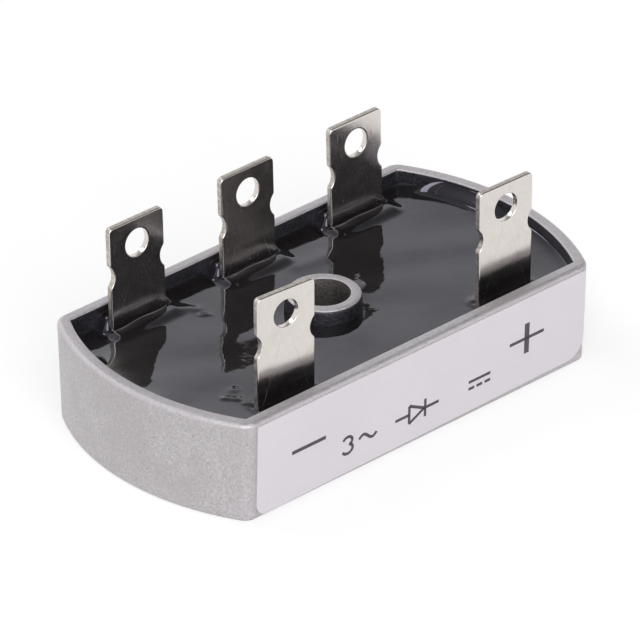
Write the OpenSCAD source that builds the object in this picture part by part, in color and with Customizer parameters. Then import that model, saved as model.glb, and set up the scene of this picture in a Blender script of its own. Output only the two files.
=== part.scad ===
// Three-phase bridge rectifier: a die-cast case filled with resin, with five blade terminals.
// The origin is the centre of the underside. X runs along the label, and +Z points out of the open top.

/* [Case] */
// Length over the two round ends, which are arcs of one circle about the mounting hole
case_l = 68.5; // [66:0.5:80]
// Width over the two flat sides
case_w = 36; // [35:0.5:42]
// Height of the rim
case_h = 14.2; // [12:0.1:20]
// Thickness of the wall at the rim
wall_t = 1.7; // [1.2:0.1:2]
// Thickness of the floor
floor_t = 3; // [2:0.1:4]
// Draft of the cast walls, in degrees
draft = 1.5; // [0.5:0.1:3]
// Radius of the four upright corners, at the rim
corner_r = 2.2; // [1.5:0.1:4]
// Radius round the outer edge of the rim
rim_r = 0.6; // [0.2:0.05:0.7]
// Chamfer round the outer edge of the underside
foot_chamfer = 0.3; // [0.1:0.05:0.6]
// Chamfer round the inner edge of the rim
mouth_chamfer = 0.15; // [0.05:0.05:0.4]

/* [Mounting hole] */
// Diameter of the mounting hole, which clears an M6 screw
bore_d = 6.9; // [6.4:0.1:7]
// Thickness of the boss round the mounting hole, at its top
boss_wall = 1.45; // [1:0.05:1.6]
// Depth of the top of the boss below the rim
boss_drop = 0.2; // [0:0.1:1]
// Radius round the top edges of the boss
boss_r = 0.4; // [0.1:0.05:0.45]

/* [Blades] */
// Width of a blade
tab_w = 9; // [8:0.1:9.5]
// Thickness of the sheet that the terminals are stamped from
tab_t = 0.8; // [0.6:0.05:1]
// Diameter of the screw hole in a blade
tab_hole_d = 3.8; // [3.2:0.1:4.5]
// Distance from the top of a blade to the centre of its hole
tab_hole_drop = 3.4; // [3:0.1:4.5]
// Distance from the top of a blade to the centre of its side notches
notch_drop = 6.85; // [6:0.05:7.5]
// Radius of the side notches
notch_r = 2.05; // [1.5:0.05:2.5]
// Depth of the side notches
notch_depth = 0.7; // [0.3:0.05:1]
// Radius of the two top corners of a blade
tab_corner_r = 0.6; // [0.2:0.1:1.2]
// Inner radius where the sheet is folded
bend_r = 0.8; // [0.5:0.1:1]
// Distance from the ends of the case to the middle of the outer blades
tab_end = 15.45; // [14.8:0.05:16.2]
// Height of the alternating-current blades above the underside
ac_top = 26; // [23:0.5:32]
// Lean of the alternating-current blades towards the near long wall, in degrees
ac_lean = 1.8; // [0:0.1:2]
// Height of the negative blade above the underside
negative_top = 27.6; // [23:0.1:32]
// Height of the positive blade above the underside
positive_top = 28; // [23:0.1:32]
// Turn of the negative blade about its own upright axis, in degrees
negative_turn = -4.5; // [-5:0.5:3]
// Turn of the positive blade about its own upright axis, in degrees
positive_turn = -1.5; // [-5:0.5:3]
// Distance from the inside of the wall to the fold of the alternating-current blades
ac_inset = 1.9; // [1.6:0.1:2.4]
// Distance from the inside of the wall to the direct-current blades
dc_inset = 2.8; // [2.4:0.1:3.2]

/* [Inner parts] */
// Thickness of the ceramic plates
ceramic_t = 0.8; // [0.5:0.05:1.2]
// Border of bare ceramic round the copper
ceramic_border = 0.6; // [0.3:0.1:0.8]
// Gap between the boss and the ceramic plates
boss_gap = 0.8; // [0.5:0.1:1]
// Thickness of the copper bus plates
bus_t = 1; // [0.6:0.1:1.4]
// Width of the copper bus plates
bus_w = 6.6; // [6.2:0.1:6.8]
// Gap between the two bus plates, end to end
bus_gap = 1.2; // [0.8:0.1:1.6]
// Side of a diode chip
chip_w = 5; // [4.4:0.1:5.2]
// Thickness of a diode chip with its solder
chip_t = 0.5; // [0.3:0.05:0.8]
// Width of the straps that rest on the chips
strap_w = 4.4; // [3.5:0.1:4.6]
// Gap between the boss and the straps
strap_gap = 0.6; // [0.5:0.1:1]
// Width of the foot that carries the positive blade
foot_w = 3.6; // [2.5:0.1:3.8]
// Width of the arm of the positive bus plate
arm_w = 4; // [3.8:0.1:4.2]

/* [Resin] */
// Depth of the resin below the rim
resin_drop = 2.3; // [1.5:0.1:3]
// Thickness of the edge of the resin where its rise ends on a wall or a blade
resin_edge = 0.03; // [0.02:0.01:0.1]
// Radius of the rise of the resin along the walls and round the boss
wall_rise = 0.6; // [0.2:0.1:0.9]
// Radius of the rise of the resin round a blade
tab_rise = 0.7; // [0.2:0.1:0.9]

/* [Label] */
// Thickness of the label
label_t = 0.12; // [0.05:0.01:0.3]
// Distance from the rim to the top edge of the label
label_drop = 0.75; // [0.75:0.05:2]
// Distance from the underside to the bottom edge of the label, at its left end
label_low = 0.4; // [0.4:0.05:1.5]
// Distance from the underside to the bottom edge of the label, at its right end
label_high = 1; // [0.4:0.05:1.5]
// Distance that the label stops short of the end of the flat side, at its left
label_short = 0.1; // [0:0.1:2]
// Distance that the label overhangs the end of the flat side, at its right
label_over = 0.8; // [0:0.1:1]
// Radius of the bottom left corner of the label
label_left_r = 1.7; // [0.5:0.1:3]
// Radius of the bottom right corner of the label
label_right_r = 2.8; // [0.5:0.1:3.5]

/* [Hidden] */
$fn = 96;

slope = tan(draft);
case_r = case_l / 2;
half_w = case_w / 2;
inner_r = case_r - wall_t;
inner_half_w = half_w - wall_t;
// Centres of the upright corners, where a circle of corner_r touches the end arc and the flat side
corner_y = half_w - corner_r;
corner_x = sqrt(pow(case_r - corner_r, 2) - pow(corner_y, 2));
corner_turn = atan2(corner_y, corner_x);
// Distance that a rounded corner lies inside the two faces it joins, so that no two edges coincide
corner_step = 0.02;
// Number of facets round the outer edge of the rim
rim_facets = 6;

boss_outer_r = bore_d / 2 + boss_wall;
boss_top = case_h - boss_drop;
resin_top = case_h - resin_drop;

// Levels of the inner parts, each on top of the one before
bus_z = floor_t + ceramic_t;
chip_z = bus_z + bus_t;
strap_z = chip_z + chip_t;

// The copper lies in two lanes along X, one on each side of the boss
boss_foot_r = boss_outer_r + (boss_top - floor_t) * slope;
lane_y = boss_foot_r + boss_gap + ceramic_border + bus_w / 2;
ceramic_w = bus_w + 2 * ceramic_border;

// Distance between neighbouring blades of a row
tab_pitch = case_r - tab_end;

// Places of the chips along X, the same in both lanes
chip_x = boss_outer_r + strap_gap + strap_w / 2;
bus_end = tab_pitch + chip_w / 2 + ceramic_border;
arm_x = bus_end + bus_gap + arm_w / 2;
ceramic_l = 2 * (arm_x + arm_w / 2 + ceramic_border);

// Front faces of the two rows of blades, at their folds
ac_y = inner_half_w - ac_inset - tab_t;
dc_y = inner_half_w - dc_inset - tab_t;

// Half sections are run this far along X, and cut back by what they meet
run_l = 2 * case_l;

// ---- Helpers ----

// Half section of the casting, with no hollow: flat sides and round things all use this one. It is reach wide
// at the rim, leans in by the draft, and has a chamfered foot and an upper edge rounded in narrow facets.
module cast_profile(reach) {
    foot_x = reach - case_h * slope - foot_chamfer;
    round_x = reach - rim_r * slope - rim_r / cos(draft);
    rim_turn = 90 + draft;
    polygon(concat(
        [[0, 0], [foot_x, 0], [foot_x + foot_chamfer * (1 + slope), foot_chamfer]],
        [for (i = [0:rim_facets]) let (turn = i * rim_turn / rim_facets - draft)
            [round_x + rim_r * cos(turn), case_h - rim_r + rim_r * sin(turn)]],
        [[0, case_h]]
    ));
}

// Section of the hollow: it narrows downwards by the draft and opens out in a small chamfer at the mouth
module hollow_profile(reach, top) {
    polygon([
        [0, floor_t],
        [reach - (case_h - floor_t) * slope, floor_t],
        [reach - mouth_chamfer * slope, case_h - mouth_chamfer],
        [reach + mouth_chamfer, case_h],
        [reach + mouth_chamfer, top],
        [0, top]
    ]);
}

// Section of the air above the resin, whose lower edge is round where the resin climbs the wall
module air_profile(reach, rise) {
    edge = reach - (case_h - resin_top - rise) * slope - resin_edge;
    difference() {
        translate([0, resin_top]) square([edge, 2 * case_h]);
        difference() {
            translate([edge - rise, resin_top - 1]) square([rise + 1, rise + 1]);
            translate([edge - rise, resin_top + rise]) circle(r = rise);
        }
    }
    translate([0, resin_top + rise]) square([reach + 1, 2 * case_h]);
}

// Runs a half section along X, mirrored in the middle plane
module along_x(length) {
    rotate([90, 0, 90]) linear_extrude(length, center = true) {
        children();
        mirror([1, 0]) children();
    }
}

// Part of the plan outside a corner's centre, between the ends of the flat side and of the end arc
module corner_sector() {
    out = 3 * corner_r;
    translate([0, 0, -1]) linear_extrude(case_h + 2) polygon([
        [0, 0],
        [out * cos(corner_turn), out * sin(corner_turn)],
        [out * cos(corner_turn), out],
        [0, out]
    ]);
}

// Copies its children to the four upright corners
module at_corners() {
    for (side_x = [0, 1], side_y = [0, 1])
        mirror([side_x, 0, 0]) mirror([0, side_y, 0])
            translate([corner_x, corner_y, 0]) children();
}

// Outside of the casting, with no hollow
module case_body() {
    difference() {
        intersection() {
            rotate_extrude($fn = 240) cast_profile(case_r);
            along_x(run_l) cast_profile(half_w);
        }
        at_corners() corner_sector();
    }
    at_corners() rotate_extrude() cast_profile(corner_r - corner_step);
}

// Hollow of the casting, up to the height given
module hollow(top) {
    intersection() {
        rotate_extrude($fn = 240) hollow_profile(inner_r, top);
        along_x(run_l) hollow_profile(inner_half_w, top);
    }
}

// Boss round the mounting hole, still solid, with its round upper edge
module boss() {
    rotate_extrude() {
        polygon([
            [0, floor_t - 1],
            [boss_foot_r + slope, floor_t - 1],
            [boss_outer_r + boss_r * slope, boss_top - boss_r],
            [boss_outer_r - boss_r, boss_top - boss_r],
            [boss_outer_r - boss_r, boss_top],
            [0, boss_top]
        ]);
        translate([boss_outer_r - boss_r, boss_top - boss_r]) circle(r = boss_r);
    }
}

// Flat face of a blade: a rounded top, the screw hole and the two side notches. The top is at y = 0.
module blade_cuts(depth) {
    translate([0, -tab_hole_drop, 0]) cylinder(d = tab_hole_d, h = depth, center = true);
    for (side = [-1, 1]) {
        translate([side * (tab_w / 2 + notch_r - notch_depth), -notch_drop, 0])
            cylinder(r = notch_r, h = depth, center = true);
        translate([side * (tab_w / 2 - tab_corner_r), -tab_corner_r, 0]) difference() {
            translate([side > 0 ? 0 : -2 * tab_corner_r, 0, -depth / 2])
                cube([2 * tab_corner_r, 2 * tab_corner_r, depth]);
            cylinder(r = tab_corner_r, h = 2 * depth, center = true);
        }
    }
}

// Folded sheet seen from its end: a foot along -x, a fold, and an upright that leans towards +x.
// The inner face of the upright starts at x = 0, and the underside of the foot is at y = 0.
module fold_section(foot_l, rise, lean) {
    centre = [-bend_r, tab_t + bend_r];
    reach = 2 * (bend_r + tab_t);
    translate([centre[0] - foot_l, 0]) square([foot_l, tab_t]);
    translate(centre) intersection() {
        difference() {
            circle(r = bend_r + tab_t);
            circle(r = bend_r);
        }
        polygon([[0, 0], [0, -reach], [reach, -reach], [reach * cos(lean), -reach * sin(lean)]]);
    }
    translate(centre) rotate(-lean) translate([bend_r, 0]) square([tab_t, rise]);
}

// Length of the upright of a leaning blade, from its fold to its top, whose inner edge is the highest point
function upright_l(z, top, lean) = (top - z - tab_t - bend_r + bend_r * sin(lean)) / cos(lean);

// Blade with a fold and a foot, standing at x = 0 with its foot on the level z
module folded_blade(z, top, foot_l, lean) {
    rise = upright_l(z, top, lean);
    translate([0, 0, z]) difference() {
        rotate([90, 0, 90]) linear_extrude(tab_w, center = true) fold_section(foot_l, rise, lean);
        translate([0, -bend_r, tab_t + bend_r]) rotate([90 - lean, 0, 0])
            translate([0, rise, -bend_r - tab_t / 2]) blade_cuts(4 * tab_t);
    }
}

// Alternating-current terminal: a strap across one chip of each lane, a bar along the wall and a blade
module ac_terminal(blade_x, leg_x) {
    bar_l = ac_y - bend_r - lane_y - (bus_w - strap_w) / 2 + strap_w;
    near = ac_y - bend_r;
    low = min(blade_x - tab_w / 2, leg_x - strap_w / 2);
    high = max(blade_x + tab_w / 2, leg_x + strap_w / 2);
    leg_end = -lane_y - strap_w / 2;
    translate([blade_x, ac_y, 0]) folded_blade(strap_z, ac_top, bend_r, ac_lean);
    translate([0, 0, strap_z]) linear_extrude(tab_t) {
        translate([low, near - bar_l]) square([high - low, bar_l]);
        translate([leg_x - strap_w / 2, leg_end]) square([strap_w, near - leg_end]);
    }
}

// Copies its children to the place of a direct-current blade, turned about the blade's own upright axis
module at_dc_blade(side) {
    turn = side > 0 ? positive_turn : negative_turn;
    translate([side * tab_pitch, -dc_y - tab_t / 2, 0]) rotate(turn) translate([0, tab_t / 2, 0])
        mirror([0, 1, 0]) children();
}

// Half section of the resin that rises round a core whose half width is reach: its flank is hollow
module rise_section(reach, rise) {
    foot = reach + resin_edge + rise;
    difference() {
        translate([0, -rise]) square([foot, 2 * rise]);
        translate([foot, rise]) circle(r = rise);
    }
}

// Rise of the resin round a blade: a ridge along the blade with round ends
module blade_rise() {
    translate([0, 0, resin_top]) {
        along_x(tab_w) rise_section(tab_t / 2, tab_rise);
        for (side = [-1, 1]) translate([side * tab_w / 2, 0, 0])
            rotate_extrude() rise_section(tab_t / 2, tab_rise);
    }
}

// Distance that a leaning blade has moved by the time it leaves the resin
lean_shift = (resin_top - strap_z - tab_t - bend_r) * tan(ac_lean);

// ---- Case, resin and label ----

module housing() {
    color("silver") difference() {
        union() {
            difference() {
                case_body();
                hollow(case_h + 1);
            }
            boss();
        }
        translate([0, 0, -1]) cylinder(d = bore_d, h = case_h + 2);
    }
}

module potting_resin() {
    color("#1c1c20") difference() {
        union() {
            difference() {
                hollow(case_h);
                intersection() {
                    rotate_extrude($fn = 240) air_profile(inner_r, wall_rise);
                    along_x(run_l) air_profile(inner_half_w, wall_rise);
                }
            }
            translate([0, 0, resin_top]) rotate_extrude()
                rise_section(boss_outer_r + (boss_top - resin_top) * slope, wall_rise);
            for (x = [-tab_pitch, 0, tab_pitch])
                translate([x, ac_y + lean_shift + tab_t / 2, 0]) blade_rise();
            for (side = [-1, 1])
                at_dc_blade(side) translate([0, tab_t / 2, 0]) blade_rise();
        }
        boss();
        terminal_ac_left();
        terminal_ac_middle();
        terminal_ac_right();
        terminal_negative();
        terminal_positive();
        bus_plate_negative();
        bus_plate_positive();
        ceramic_front();
        ceramic_back();
        chip_negative_left();
        chip_negative_middle();
        chip_negative_right();
        chip_positive_left();
        chip_positive_middle();
        chip_positive_right();
    }
}

// The label lies on the drafted face of the flat side, so it is drawn in that face, measured from the rim
module label() {
    left = -corner_x + label_short;
    right = corner_x + label_over;
    face_h = case_h / cos(draft);
    low_left = label_low - face_h;
    low_right = label_high - face_h;
    tilt = atan2(low_right - low_left, right - left);
    color("#d7d3d9") translate([0, -half_w, case_h]) rotate([90 + draft, 0, 0]) linear_extrude(label_t)
        difference() {
            polygon([[left, low_left], [right, low_right], [right, -label_drop], [left, -label_drop]]);
            translate([left, low_left]) rotate(tilt) corner_cut(label_left_r);
            translate([right, low_right]) rotate(tilt) mirror([1, 0]) corner_cut(label_right_r);
        }
}

// What is cut off a square corner at the origin to round it
module corner_cut(r) {
    difference() {
        translate([-r, -r]) square(2 * r);
        translate([r, r]) circle(r = r);
    }
}

// ---- Terminals ----

module terminal_ac_left() {
    color("gainsboro") ac_terminal(-tab_pitch, -chip_x);
}

module terminal_ac_middle() {
    color("gainsboro") ac_terminal(0, chip_x);
}

module terminal_ac_right() {
    color("gainsboro") ac_terminal(tab_pitch, tab_pitch);
}

module terminal_negative() {
    foot_l = dc_y - lane_y + bus_w / 2 - bend_r - ceramic_border;
    color("gainsboro") at_dc_blade(-1) folded_blade(chip_z, negative_top, foot_l, 0);
}

// The positive blade has no foot of its own width: a tail leads from it to a narrow foot on the arm
module terminal_positive() {
    foot_l = dc_y - lane_y + bus_w / 2 - bend_r - ceramic_border;
    fold_z = chip_z + tab_t + bend_r;
    rise = positive_top - fold_z;
    tail_l = arm_x + foot_w / 2 - tab_pitch;
    color("gainsboro") at_dc_blade(1) {
        difference() {
            translate([-tab_w / 2, 0, fold_z]) cube([tab_w, tab_t, rise]);
            translate([0, tab_t / 2, positive_top]) rotate([90, 0, 0]) blade_cuts(4 * tab_t);
        }
        translate([-tab_w / 2, 0, fold_z]) cube([tab_w / 2 + tail_l, tab_t, foot_w]);
        translate([tail_l - foot_w / 2, 0, chip_z]) rotate([90, 0, 90])
            linear_extrude(foot_w, center = true) fold_section(foot_l, foot_w, 0);
    }
}

// ---- Copper, ceramic and chips, sealed in the resin ----

module plate(x0, x1, y0, y1, z, t) {
    translate([x0, y0, z]) cube([x1 - x0, y1 - y0, t]);
}

module bus_plate_negative() {
    left = -tab_pitch - tab_w / 2 - ceramic_border;
    color("peru") plate(left, bus_end, -lane_y - bus_w / 2, -lane_y + bus_w / 2, bus_z, bus_t);
}

module bus_plate_positive() {
    left = -chip_x - chip_w / 2 - ceramic_border;
    color("peru") {
        plate(left, arm_x + arm_w / 2, lane_y - bus_w / 2, lane_y + bus_w / 2, bus_z, bus_t);
        plate(arm_x - arm_w / 2, arm_x + arm_w / 2, -lane_y - bus_w / 2, lane_y, bus_z, bus_t);
    }
}

module ceramic(side) {
    color("white") translate([-ceramic_l / 2, side * lane_y - ceramic_w / 2, floor_t])
        cube([ceramic_l, ceramic_w, ceramic_t]);
}

module ceramic_front() {
    ceramic(-1);
}

module ceramic_back() {
    ceramic(1);
}

module chip(x, side) {
    color("dimgray") translate([x - chip_w / 2, side * lane_y - chip_w / 2, chip_z])
        cube([chip_w, chip_w, chip_t]);
}

module chip_negative_left() {
    chip(-chip_x, -1);
}

module chip_negative_middle() {
    chip(chip_x, -1);
}

module chip_negative_right() {
    chip(tab_pitch, -1);
}

module chip_positive_left() {
    chip(-chip_x, 1);
}

module chip_positive_middle() {
    chip(chip_x, 1);
}

module chip_positive_right() {
    chip(tab_pitch, 1);
}

housing();
potting_resin();
label();
terminal_ac_left();
terminal_ac_middle();
terminal_ac_right();
terminal_negative();
terminal_positive();
bus_plate_negative();
bus_plate_positive();
ceramic_front();
ceramic_back();
chip_negative_left();
chip_negative_middle();
chip_negative_right();
chip_positive_left();
chip_positive_middle();
chip_positive_right();
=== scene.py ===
# %% [markdown]
# # A potted three-phase bridge rectifier
#
# The real object is a small die-cast case, filled to just below its rim with black casting resin. Five
# plated blades stand out of the resin, and a printed label covers the flat front. The solids come ready
# made from the construction frame. Here each surface gets its finish, and the forms that catch the light
# get a finer mesh: the rounded rim, the stamped edges of the blades, and the resin that swells up round
# them. Each step starts with a few words on the real thing, on the ways to make it, and on the way taken
# here.

# %% Load the frame and keep its box
import math

import bmesh
import bpy
import numpy as np
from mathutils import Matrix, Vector


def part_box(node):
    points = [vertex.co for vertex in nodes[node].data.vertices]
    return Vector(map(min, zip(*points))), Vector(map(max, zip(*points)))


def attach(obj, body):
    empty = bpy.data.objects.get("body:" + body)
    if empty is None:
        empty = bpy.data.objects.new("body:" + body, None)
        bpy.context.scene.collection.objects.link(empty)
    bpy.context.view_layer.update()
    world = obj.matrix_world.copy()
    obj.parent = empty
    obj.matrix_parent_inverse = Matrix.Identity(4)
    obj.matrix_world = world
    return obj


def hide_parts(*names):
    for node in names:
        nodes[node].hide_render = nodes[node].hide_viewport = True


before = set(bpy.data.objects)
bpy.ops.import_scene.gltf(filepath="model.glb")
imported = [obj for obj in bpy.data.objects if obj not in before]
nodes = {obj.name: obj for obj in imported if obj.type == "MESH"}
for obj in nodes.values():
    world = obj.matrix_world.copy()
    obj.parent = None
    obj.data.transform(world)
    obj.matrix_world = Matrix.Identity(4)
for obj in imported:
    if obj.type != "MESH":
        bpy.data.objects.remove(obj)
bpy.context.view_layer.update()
print("nodes:", len(nodes))

# %% [markdown]
# ## Sizes
#
# Lengths are written in millimetres, as on a drawing, and are turned into metres when a mesh is made. The
# outer sizes could be typed in again, but they are read from the frame, so that nothing here can drift
# away from the solids. The walls, radii and levels are those of the construction.

# %% Driving sizes, in millimetres
MM = 0.001


def size_of(node):
    """Lowest and highest corner of a node, in millimetres."""
    low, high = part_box(node)
    return np.array(low) / MM, np.array(high) / MM


DRAFT_DEGREES = 1.5
DRAFT_ANGLE = math.radians(DRAFT_DEGREES)
DRAFT = math.tan(DRAFT_ANGLE)
RIM_R = 0.6
# The rim's round ends a little short of where the drafted side would reach at the top.
RIM_LOSS = RIM_R * (DRAFT + 1 / math.cos(DRAFT_ANGLE) - math.cos(DRAFT_ANGLE))
_, case_high = size_of("housing")
CASE_R = case_high[0] + RIM_LOSS
HALF_W = case_high[1] + RIM_LOSS
CASE_H = case_high[2]
WALL = 1.7
FLOOR = 3.0
CORNER_R = 2.2
BORE_R = 3.45
BOSS_R = 4.9
BOSS_BELOW_RIM = 0.2
RESIN_BELOW_RIM = 2.3
BOSS_TOP = CASE_H - BOSS_BELOW_RIM
RESIN_TOP = CASE_H - RESIN_BELOW_RIM
print("end radius, half width, height:", np.round([CASE_R, HALF_W, CASE_H], 3))

# %% [markdown]
# ## Camera
#
# Close by, a short lens would splay the sides of so small an object. A long lens from well back keeps
# them nearly parallel, as the eye sees them on a table. The camera stands to the left of the front and
# looks down by about thirty degrees. Its place follows from those two angles and a distance, and a small
# move aside and up sets where the object stands in the view.

# %% Camera
CAMERA_AZIMUTH = math.radians(-42.92)
CAMERA_ELEVATION = math.radians(30.557)
CAMERA_DISTANCE = 0.932
CAMERA_ASIDE = 0.000452
CAMERA_UP = -0.008462
LENS = 412.65
SENSOR = 36.0
FAR_CLIP = 20.0

camera_back = np.array([
    math.sin(CAMERA_AZIMUTH) * math.cos(CAMERA_ELEVATION),
    -math.cos(CAMERA_AZIMUTH) * math.cos(CAMERA_ELEVATION),
    math.sin(CAMERA_ELEVATION),
])
camera_right = np.array([math.cos(CAMERA_AZIMUTH), math.sin(CAMERA_AZIMUTH), 0.0])
camera_up = np.cross(camera_back, camera_right)
camera_data = bpy.data.cameras.new("camera")
camera_data.lens = LENS
camera_data.sensor_width = SENSOR
camera_data.clip_end = FAR_CLIP
camera = bpy.data.objects.new("camera", camera_data)
camera.location = camera_back * CAMERA_DISTANCE - camera_right * CAMERA_ASIDE - camera_up * CAMERA_UP
camera.rotation_euler = (math.pi / 2 - CAMERA_ELEVATION, 0.0, CAMERA_AZIMUTH)
bpy.context.scene.collection.objects.link(camera)
bpy.context.scene.camera = camera
print("camera at", np.round(camera.location, 3))

# %% [markdown]
# ## Meshes from grids
#
# Most forms here are skins that are swept round something, so they could be turned or extruded with
# Blender's own tools. A table of points says more exactly where the points go: it has rows and columns,
# and neighbouring points make a quad. A table can close on itself in either direction, which makes a tube
# or a ring without a seam.

# %% Quads of a table


def grid_faces(rows, cols, wrap_rows, wrap_cols):
    """Quads of a table of points, numbered row by row.

    A quad joins (r, c), (r, c + 1), (r + 1, c + 1) and (r + 1, c). Where the table wraps, the row or column
    after the last one is the first.
    """
    r = np.arange(rows if wrap_rows else rows - 1)[:, None]
    c = np.arange(cols if wrap_cols else cols - 1)[None, :]
    next_r = (r + 1) % rows
    next_c = (c + 1) % cols
    corners = (r * cols + c, r * cols + next_c, next_r * cols + next_c, next_r * cols + c)
    return np.stack(np.broadcast_arrays(*corners), axis=-1).reshape(-1, 4)


print("quads of a tube with 3 rings of 8 points:", len(grid_faces(3, 8, False, True)))

# %% [markdown]
# ## From arrays to an object
#
# A mesh could be filled point by point in a Python loop, but that is slow for a hundred thousand faces.
# foreach_set takes whole arrays at once. The object stays at the origin, unturned and unscaled, with its
# place in the mesh, so a pattern measured on the object lies still.

# %% Helpers that make and dress a piece


def make_mesh(name, points, faces, smooth=True):
    """Object at the origin with this mesh. Points are in millimetres, and faces is an array of quads."""
    mesh = bpy.data.meshes.new(name)
    mesh.vertices.add(len(points))
    mesh.vertices.foreach_set("co", (np.asarray(points, float) * MM).astype(np.float32).ravel())
    mesh.loops.add(faces.size)
    mesh.loops.foreach_set("vertex_index", faces.astype(np.int32).ravel())
    mesh.polygons.add(len(faces))
    mesh.polygons.foreach_set("loop_start", np.arange(0, faces.size, faces.shape[1], dtype=np.int32))
    mesh.polygons.foreach_set("use_smooth", np.full(len(faces), smooth))
    mesh.update(calc_edges=True)
    mesh.validate()
    obj = bpy.data.objects.new(name, mesh)
    bpy.context.scene.collection.objects.link(obj)
    return obj


def dress(obj, *materials):
    """Gives a piece these materials in place of those it has."""
    obj.data.materials.clear()
    for material in materials:
        obj.data.materials.append(material)


def raised(plan, height):
    """Points of a plan, each with a third coordinate that is the same for all."""
    return np.concatenate([plan, np.full((len(plan), 1), height)], axis=1)


print("a plan point, raised:", raised(np.array([[1.0, 2.0]]), 3.0)[0])

# %% [markdown]
# ## The outline of the case
#
# Seen from above the case is a circle cut off by two parallel flats, with its four corners rounded. It
# could be cut from a disc with Booleans, but that leaves long, uneven faces. Here the outline is worked
# out by quarter, with a fixed number of points for the end arc, the corner and the flat. The same
# outline, moved inwards, then gives every level of the drafted walls, the rim and the mouth, and they
# match point by point.

# %% Outline of the case, moved inwards
ARC_STEPS = 64
CORNER_STEPS = 10
FLAT_STEPS = 140


def quarter_outline(inset, corner):
    """A quarter of the outline moved inwards, from the tip of the end arc to the middle of the flat.

    A corner circle of radius `corner` touches the flat y = HALF_W - inset and the arc of radius
    CASE_R - inset. So its centre is at y = HALF_W - inset - corner, and its distance from the middle is
    CASE_R - inset - corner.
    """
    arc_r = CASE_R - inset
    flat_y = HALF_W - inset
    centre_y = flat_y - corner
    centre_x = np.sqrt((arc_r - corner) ** 2 - centre_y ** 2)
    turn = np.arctan2(centre_y, centre_x)
    a = np.linspace(0, turn, ARC_STEPS, endpoint=False)
    c = np.linspace(turn, np.pi / 2, CORNER_STEPS, endpoint=False)
    x = np.linspace(centre_x, 0, FLAT_STEPS, endpoint=False)
    return np.concatenate([
        np.stack([arc_r * np.cos(a), arc_r * np.sin(a)], -1),
        np.stack([centre_x + corner * np.cos(c), centre_y + corner * np.sin(c)], -1),
        np.stack([x, np.full_like(x, flat_y)], -1),
    ])


def outline(inset, corner):
    """The whole outline, anticlockwise: a quarter and its mirror image, then both turned by half a turn."""
    quarter = quarter_outline(inset, corner)
    flat_middle = np.array([[0.0, HALF_W - inset]])
    mirrored = np.concatenate([flat_middle, quarter[:0:-1]]) * [-1, 1]
    half = np.concatenate([quarter, mirrored])
    return np.concatenate([half, -half])


columns = len(outline(0, CORNER_R))
print("points round the outline:", columns)

# %% [markdown]
# ## The casting
#
# The case comes out of a die, so its sides lean by a small draft, its edges are rounded and the boss
# stands on the floor in one piece with it. Separate meshes for the wall, the rim and the boss would show
# joints where the light runs over them. So the case is one closed surface: its section runs from under
# the foot up the drafted side, over the rim, down inside, across the floor, up the boss and down the
# bore.

# %% Lines and arcs of a section


def side_at(z):
    """How far the drafted side has moved in at a height: (CASE_H - z) times the tangent of the draft."""
    return (CASE_H - z) * DRAFT


def arc(centre_x, centre_z, radius, start, end, steps):
    """Points on an arc in the plane of the section, from start to end in degrees."""
    a = np.radians(np.linspace(start, end, steps))
    return np.stack([centre_x + radius * np.cos(a), centre_z + radius * np.sin(a)], -1)


def spread(p, q, steps):
    """Points at even shares of the way from p to q, without the ends: p * (1 - t) + q * t."""
    t = np.linspace(0, 1, steps + 2)[1:-1, None]
    return np.array(p) * (1 - t) + np.array(q) * t


print("draft over the whole height:", round(float(side_at(0)), 3), "mm")

# %% Section of the outside
FOOT_CHAMFER = 0.3
FOOT_FLAT = 3.0
CHAMFER_TOP = 0.4
SIDE_START = 0.45
SIDE_END = CASE_H - RIM_R - 0.1
SIDE_STEPS = 12
RIM_STEPS = 9
foot_edge = -side_at(0) - FOOT_CHAMFER
rim_centre = -RIM_R * DRAFT - RIM_R / math.cos(DRAFT_ANGLE)
# As (distance beyond the rim's outline, height). Each corner of the foot's chamfer is cut short between
# two points.
outer_section = np.concatenate([
    [[foot_edge - FOOT_FLAT, 0.0], [foot_edge - 0.15, 0.0]],
    [[foot_edge + 0.02, 0.03], [-side_at(FOOT_CHAMFER) - 0.02, FOOT_CHAMFER - 0.04]],
    [[-side_at(CHAMFER_TOP), SIDE_START]],
    spread((-side_at(SIDE_START), SIDE_START), (-side_at(SIDE_END), SIDE_END), SIDE_STEPS),
    arc(rim_centre, CASE_H - RIM_R, RIM_R, -DRAFT_DEGREES, 90, RIM_STEPS),
])
print("points outside:", len(outer_section))

# %% Section of the inside and the boss
INNER_CORNER = 0.35
MOUTH_R = 0.22
MOUTH_STEPS = 6
WALL_STEPS = 10
# As (distance inwards from the rim's outline, height)
inner_section = np.concatenate([
    arc(WALL - MOUTH_R, CASE_H - MOUTH_R, MOUTH_R, 90, 0, MOUTH_STEPS),
    spread((WALL, CASE_H - MOUTH_R), (WALL + side_at(FLOOR), FLOOR), WALL_STEPS),
    [[WALL + side_at(FLOOR), FLOOR]],
])
BOSS_ROUND = 0.55
BOSS_ROUND_STEPS = 6
BORE_ROUND = 0.18
BORE_ROUND_STEPS = 5
BORE_FOOT = 0.1
BOSS_STEPS = 8
boss_foot = BOSS_R + (BOSS_TOP - FLOOR) * DRAFT
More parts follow.
